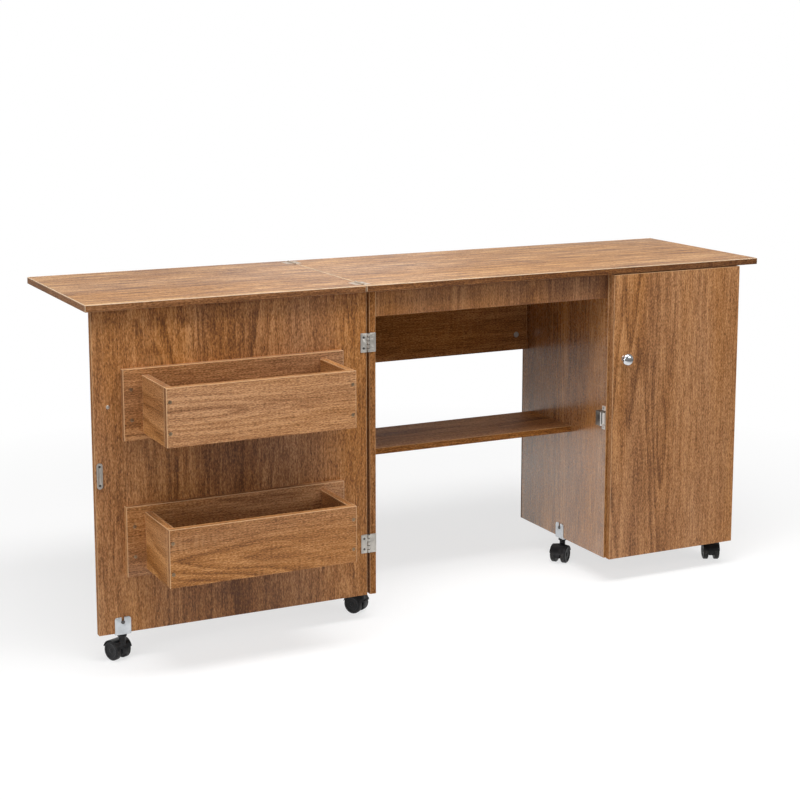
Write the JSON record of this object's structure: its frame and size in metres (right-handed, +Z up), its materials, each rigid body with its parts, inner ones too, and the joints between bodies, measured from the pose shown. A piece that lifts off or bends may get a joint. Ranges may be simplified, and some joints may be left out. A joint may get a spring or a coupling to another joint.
{
  "type": "folding sewing table",
  "caption": "Wood-look sewing and cutting table on casters: fold-over top leaf, swing gate with open bins that holds it up, kneehole with shelf, and a cupboard with a hinged door.",
  "frame": {"origin": "on the floor under the middle of the table's box, opened out as in the picture", "axes": "+Z up, +X to the cupboard end, +Y from the bins and door to the back"},
  "size_m": [1.672, 0.605, 0.7679],
  "materials": {
    "top_laminate": "satin melamine with a walnut grain along the top",
    "board_laminate": "satin melamine with a walnut grain, light edge corners",
    "back_sheet": "thin printed fibreboard",
    "zinc_steel": "zinc plated sheet steel",
    "cast_metal": "bright zinc casting",
    "knob_chrome": "polished chrome",
    "caster_plastic": "black nylon",
    "caster_wheel": "black nylon, worn tread"
  },
  "bodies": {
    "carcass": {"main_top": "top_laminate", "left_side_panel": "board_laminate", "cupboard_left_side": "board_laminate", "cupboard_right_side": "board_laminate", "cupboard_bottom": "board_laminate", "cupboard_back": "back_sheet", "cupboard_low_shelf": "board_laminate", "cupboard_high_shelf": "board_laminate", "front_apron": "board_laminate", "back_rail": "board_laminate", "kneehole_shelf": "board_laminate", "shelf_pegs": "zinc_steel", "cam_locks": "cast_metal", "gate_catch": "cast_metal", "door_catch": "cast_metal", "gate_hinge_fixed_leaves": "zinc_steel", "door_hinge_fixed_leaves": "zinc_steel", "leaf_hinge_fixed_leaves": "zinc_steel", "hinge_pins": "zinc_steel", "caster_brackets": "zinc_steel", "caster_stems": "zinc_steel", "carcass_screws": "zinc_steel"},
    "leaf": {"folding_leaf": "top_laminate", "leaf_hinge_moving_leaves": "zinc_steel", "leaf_screws": "zinc_steel"},
    "gate": {"gate_panel": "board_laminate", "gate_knob": "knob_chrome", "gate_strike": "zinc_steel", "gate_hinge_moving_leaves": "zinc_steel", "gate_caster_bracket": "zinc_steel", "gate_caster_stem": "zinc_steel", "gate_screws": "zinc_steel", "bin_screws": "zinc_steel", "low_bin_board": "board_laminate", "low_bin_left_side": "board_laminate", "low_bin_right_side": "board_laminate", "low_bin_front": "board_laminate", "low_bin_floor": "board_laminate", "high_bin_board": "board_laminate", "high_bin_left_side": "board_laminate", "high_bin_right_side": "board_laminate", "high_bin_front": "board_laminate", "high_bin_floor": "board_laminate"},
    "door": {"door_panel": "board_laminate", "door_knob": "knob_chrome", "door_strike": "zinc_steel", "door_hinge_moving_leaves": "zinc_steel", "door_screws": "zinc_steel"},
    "caster_gate_swivel": {"caster_gate_hood": "caster_plastic"},
    "caster_gate_wheelset": {"caster_gate_wheels": "caster_wheel"},
    "caster_left_front_swivel": {"caster_left_front_hood": "caster_plastic"},
    "caster_left_front_wheelset": {"caster_left_front_wheels": "caster_wheel"},
    "caster_left_back_swivel": {"caster_left_back_hood": "caster_plastic"},
    "caster_left_back_wheelset": {"caster_left_back_wheels": "caster_wheel"},
    "caster_middle_swivel": {"caster_middle_hood": "caster_plastic"},
    "caster_middle_wheelset": {"caster_middle_wheels": "caster_wheel"},
    "caster_right_front_swivel": {"caster_right_front_hood": "caster_plastic"},
    "caster_right_front_wheelset": {"caster_right_front_wheels": "caster_wheel"},
    "caster_right_back_swivel": {"caster_right_back_hood": "caster_plastic"},
    "caster_right_back_wheelset": {"caster_right_back_wheels": "caster_wheel"}
  },
  "joints": [
    {"name": "leaf_fold", "type": "hinge", "parent": "carcass", "child": "leaf", "pos_m": [-0.21075, 0, 0.7654], "axis": [0, 1, 0], "range_deg": [0, 180]},
    {"name": "gate_swing", "type": "hinge", "parent": "carcass", "child": "gate", "pos_m": [-0.19885, -0.1361, 0.4], "axis": [0, 0, 1], "range_deg": [0, 180]},
    {"name": "door_swing", "type": "hinge", "parent": "carcass", "child": "door", "pos_m": [0.78835, -0.1361, 0.4], "axis": [0, 0, 1], "range_deg": [0, 180]},
    {"name": "caster_gate_turn", "type": "hinge", "parent": "gate", "child": "caster_gate_swivel", "pos_m": [-0.7692, -0.127, 0.045], "axis": [0, 0, 1], "continuous": true},
    {"name": "caster_gate_roll", "type": "hinge", "parent": "caster_gate_swivel", "child": "caster_gate_wheelset", "pos_m": [-0.7753, -0.1133, 0.0215], "axis": [-0.9135, -0.4067, 0], "continuous": true},
    {"name": "caster_left_front_turn", "type": "hinge", "parent": "carcass", "child": "caster_left_front_swivel", "pos_m": [-0.188, -0.0745, 0.045], "axis": [0, 0, 1], "continuous": true},
    {"name": "caster_left_front_roll", "type": "hinge", "parent": "caster_left_front_swivel", "child": "caster_left_front_wheelset", "pos_m": [-0.19617, -0.06192, 0.0215], "axis": [-0.8387, -0.5446, 0], "continuous": true},
    {"name": "caster_left_back_turn", "type": "hinge", "parent": "carcass", "child": "caster_left_back_swivel", "pos_m": [-0.188, 0.1945, 0.045], "axis": [0, 0, 1], "continuous": true},
    {"name": "caster_left_back_roll", "type": "hinge", "parent": "caster_left_back_swivel", "child": "caster_left_back_wheelset", "pos_m": [-0.18412, 0.20899, 0.0215], "axis": [-0.9659, 0.2588, 0], "continuous": true},
    {"name": "caster_middle_turn", "type": "hinge", "parent": "carcass", "child": "caster_middle_swivel", "pos_m": [0.43, 0.064, 0.045], "axis": [0, 0, 1], "continuous": true},
    {"name": "caster_middle_roll", "type": "hinge", "parent": "caster_middle_swivel", "child": "caster_middle_wheelset", "pos_m": [0.41802, 0.05497, 0.0215], "axis": [0.6018, -0.7986, 0], "continuous": true},
    {"name": "caster_right_front_turn", "type": "hinge", "parent": "carcass", "child": "caster_right_front_swivel", "pos_m": [0.7775, -0.0745, 0.045], "axis": [0, 0, 1], "continuous": true},
    {"name": "caster_right_front_roll", "type": "hinge", "parent": "caster_right_front_swivel", "child": "caster_right_front_wheelset", "pos_m": [0.77092, -0.08798, 0.0215], "axis": [0.8988, -0.4384, 0], "continuous": true},
    {"name": "caster_right_back_turn", "type": "hinge", "parent": "carcass", "child": "caster_right_back_swivel", "pos_m": [0.7775, 0.1945, 0.045], "axis": [0, 0, 1], "continuous": true},
    {"name": "caster_right_back_roll", "type": "hinge", "parent": "caster_right_back_swivel", "child": "caster_right_back_wheelset", "pos_m": [0.77, 0.20749, 0.0215], "axis": [-0.866, -0.5, 0], "continuous": true}
  ]
}
